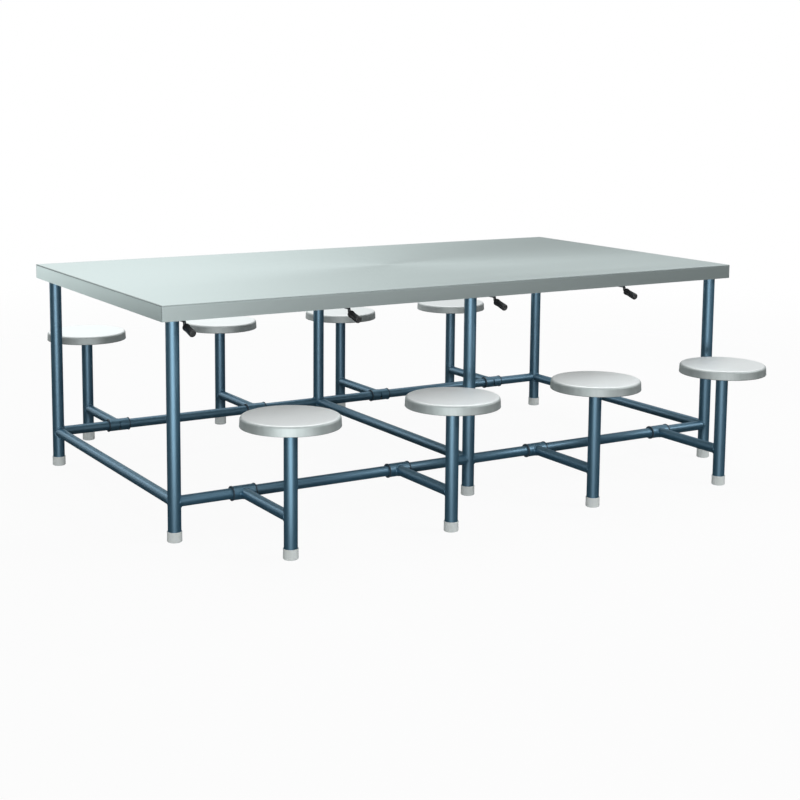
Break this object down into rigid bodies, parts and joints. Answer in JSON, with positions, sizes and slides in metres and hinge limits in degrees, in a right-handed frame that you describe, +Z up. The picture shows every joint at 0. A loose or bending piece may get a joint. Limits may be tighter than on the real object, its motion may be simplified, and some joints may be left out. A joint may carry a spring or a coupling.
{
  "type": "canteen table",
  "caption": "Long canteen table with a folded stainless top on a blue tube frame. Round stools turn on posts and swing up on arms hinged to the floor rails; small hooks hold them.",
  "frame": {"origin": "on the floor, under the middle of the table top", "axes": "+X along the table, +Y across it towards the rear stools, +Z up"},
  "size_m": [2.3, 2.065, 0.75],
  "materials": {
    "stainless_top": "satin",
    "core_board": "matt",
    "blue_paint": "gloss powder coat",
    "zinc_steel": "dull zinc",
    "foot_plastic": "matt",
    "bush_plastic": "matt",
    "stainless_seat": "brushed top, polished skirt",
    "grip_rubber": "satin"
  },
  "bodies": {
    "frame": {"table_top": "stainless_top", "top_board": "core_board", "top_side_bars": "blue_paint", "top_cross_bars": "blue_paint", "top_screws": "zinc_steel", "legs": "blue_paint", "lower_side_rails": "blue_paint", "lower_cross_rails": "blue_paint", "stop_pins": "zinc_steel", "leg_feet": "foot_plastic", "hook_plates": "blue_paint"},
    "stool_f1": {"stool_frame_f1": "blue_paint", "stool_bushes_f1": "bush_plastic", "stool_foot_f1": "foot_plastic"},
    "pan_f1": {"seat_f1": "stainless_seat"},
    "hook_f1": {"catch_hook_f1": "zinc_steel", "hook_grip_f1": "grip_rubber"},
    "stool_f2": {"stool_frame_f2": "blue_paint", "stool_bushes_f2": "bush_plastic", "stool_foot_f2": "foot_plastic"},
    "pan_f2": {"seat_f2": "stainless_seat"},
    "hook_f2": {"catch_hook_f2": "zinc_steel", "hook_grip_f2": "grip_rubber"},
    "stool_f3": {"stool_frame_f3": "blue_paint", "stool_bushes_f3": "bush_plastic", "stool_foot_f3": "foot_plastic"},
    "pan_f3": {"seat_f3": "stainless_seat"},
    "hook_f3": {"catch_hook_f3": "zinc_steel", "hook_grip_f3": "grip_rubber"},
    "stool_f4": {"stool_frame_f4": "blue_paint", "stool_bushes_f4": "bush_plastic", "stool_foot_f4": "foot_plastic"},
    "pan_f4": {"seat_f4": "stainless_seat"},
    "hook_f4": {"catch_hook_f4": "zinc_steel", "hook_grip_f4": "grip_rubber"},
    "stool_r1": {"stool_frame_r1": "blue_paint", "stool_bushes_r1": "bush_plastic", "stool_foot_r1": "foot_plastic"},
    "pan_r1": {"seat_r1": "stainless_seat"},
    "hook_r1": {"catch_hook_r1": "zinc_steel", "hook_grip_r1": "grip_rubber"},
    "stool_r2": {"stool_frame_r2": "blue_paint", "stool_bushes_r2": "bush_plastic", "stool_foot_r2": "foot_plastic"},
    "pan_r2": {"seat_r2": "stainless_seat"},
    "hook_r2": {"catch_hook_r2": "zinc_steel", "hook_grip_r2": "grip_rubber"},
    "stool_r3": {"stool_frame_r3": "blue_paint", "stool_bushes_r3": "bush_plastic", "stool_foot_r3": "foot_plastic"},
    "pan_r3": {"seat_r3": "stainless_seat"},
    "hook_r3": {"catch_hook_r3": "zinc_steel", "hook_grip_r3": "grip_rubber"},
    "stool_r4": {"stool_frame_r4": "blue_paint", "stool_bushes_r4": "bush_plastic", "stool_foot_r4": "foot_plastic"},
    "pan_r4": {"seat_r4": "stainless_seat"},
    "hook_r4": {"catch_hook_r4": "zinc_steel", "hook_grip_r4": "grip_rubber"}
  },
  "joints": [
    {"name": "stool_swing_f1", "type": "hinge", "parent": "frame", "child": "stool_f1", "pos_m": [-0.8625, -0.548, 0.127], "axis": [-1, 0, 0], "range_deg": [0, 60]},
    {"name": "seat_turn_f1", "type": "hinge", "parent": "stool_f1", "child": "pan_f1", "pos_m": [-0.8625, -0.88, 0.42], "axis": [0, 0, 1], "continuous": true},
    {"name": "hook_turn_f1", "type": "hinge", "parent": "frame", "child": "hook_f1", "pos_m": [-1.0655, -0.518, 0.705], "axis": [0, 0, 1], "range_deg": [0, 75]},
    {"name": "stool_swing_f2", "type": "hinge", "parent": "frame", "child": "stool_f2", "pos_m": [-0.2875, -0.548, 0.127], "axis": [-1, 0, 0], "range_deg": [0, 60]},
    {"name": "seat_turn_f2", "type": "hinge", "parent": "stool_f2", "child": "pan_f2", "pos_m": [-0.2875, -0.88, 0.42], "axis": [0, 0, 1], "continuous": true},
    {"name": "hook_turn_f2", "type": "hinge", "parent": "frame", "child": "hook_f2", "pos_m": [-0.4905, -0.518, 0.705], "axis": [0, 0, 1], "range_deg": [0, 75]},
    {"name": "stool_swing_f3", "type": "hinge", "parent": "frame", "child": "stool_f3", "pos_m": [0.2875, -0.548, 0.127], "axis": [-1, 0, 0], "range_deg": [0, 60]},
    {"name": "seat_turn_f3", "type": "hinge", "parent": "stool_f3", "child": "pan_f3", "pos_m": [0.2875, -0.88, 0.42], "axis": [0, 0, 1], "continuous": true},
    {"name": "hook_turn_f3", "type": "hinge", "parent": "frame", "child": "hook_f3", "pos_m": [0.0845, -0.518, 0.705], "axis": [0, 0, 1], "range_deg": [0, 75]},
    {"name": "stool_swing_f4", "type": "hinge", "parent": "frame", "child": "stool_f4", "pos_m": [0.8625, -0.548, 0.127], "axis": [-1, 0, 0], "range_deg": [0, 60]},
    {"name": "seat_turn_f4", "type": "hinge", "parent": "stool_f4", "child": "pan_f4", "pos_m": [0.8625, -0.88, 0.42], "axis": [0, 0, 1], "continuous": true},
    {"name": "hook_turn_f4", "type": "hinge", "parent": "frame", "child": "hook_f4", "pos_m": [0.6595, -0.518, 0.705], "axis": [0, 0, 1], "range_deg": [0, 75]},
    {"name": "stool_swing_r1", "type": "hinge", "parent": "frame", "child": "stool_r1", "pos_m": [0.8625, 0.548, 0.127], "axis": [1, 0, 0], "range_deg": [0, 60]},
    {"name": "seat_turn_r1", "type": "hinge", "parent": "stool_r1", "child": "pan_r1", "pos_m": [0.8625, 0.88, 0.42], "axis": [0, 0, 1], "continuous": true},
    {"name": "hook_turn_r1", "type": "hinge", "parent": "frame", "child": "hook_r1", "pos_m": [1.0655, 0.518, 0.705], "axis": [0, 0, 1], "range_deg": [0, 75]},
    {"name": "stool_swing_r2", "type": "hinge", "parent": "frame", "child": "stool_r2", "pos_m": [0.2875, 0.548, 0.127], "axis": [1, 0, 0], "range_deg": [0, 60]},
    {"name": "seat_turn_r2", "type": "hinge", "parent": "stool_r2", "child": "pan_r2", "pos_m": [0.2875, 0.88, 0.42], "axis": [0, 0, 1], "continuous": true},
    {"name": "hook_turn_r2", "type": "hinge", "parent": "frame", "child": "hook_r2", "pos_m": [0.4905, 0.518, 0.705], "axis": [0, 0, 1], "range_deg": [0, 75]},
    {"name": "stool_swing_r3", "type": "hinge", "parent": "frame", "child": "stool_r3", "pos_m": [-0.2875, 0.548, 0.127], "axis": [1, 0, 0], "range_deg": [0, 60]},
    {"name": "seat_turn_r3", "type": "hinge", "parent": "stool_r3", "child": "pan_r3", "pos_m": [-0.2875, 0.88, 0.42], "axis": [0, 0, 1], "continuous": true},
    {"name": "hook_turn_r3", "type": "hinge", "parent": "frame", "child": "hook_r3", "pos_m": [-0.0845, 0.518, 0.705], "axis": [0, 0, 1], "range_deg": [0, 75]},
    {"name": "stool_swing_r4", "type": "hinge", "parent": "frame", "child": "stool_r4", "pos_m": [-0.8625, 0.548, 0.127], "axis": [1, 0, 0], "range_deg": [0, 60]},
    {"name": "seat_turn_r4", "type": "hinge", "parent": "stool_r4", "child": "pan_r4", "pos_m": [-0.8625, 0.88, 0.42], "axis": [0, 0, 1], "continuous": true},
    {"name": "hook_turn_r4", "type": "hinge", "parent": "frame", "child": "hook_r4", "pos_m": [-0.6595, 0.518, 0.705], "axis": [0, 0, 1], "range_deg": [0, 75]}
  ]
}
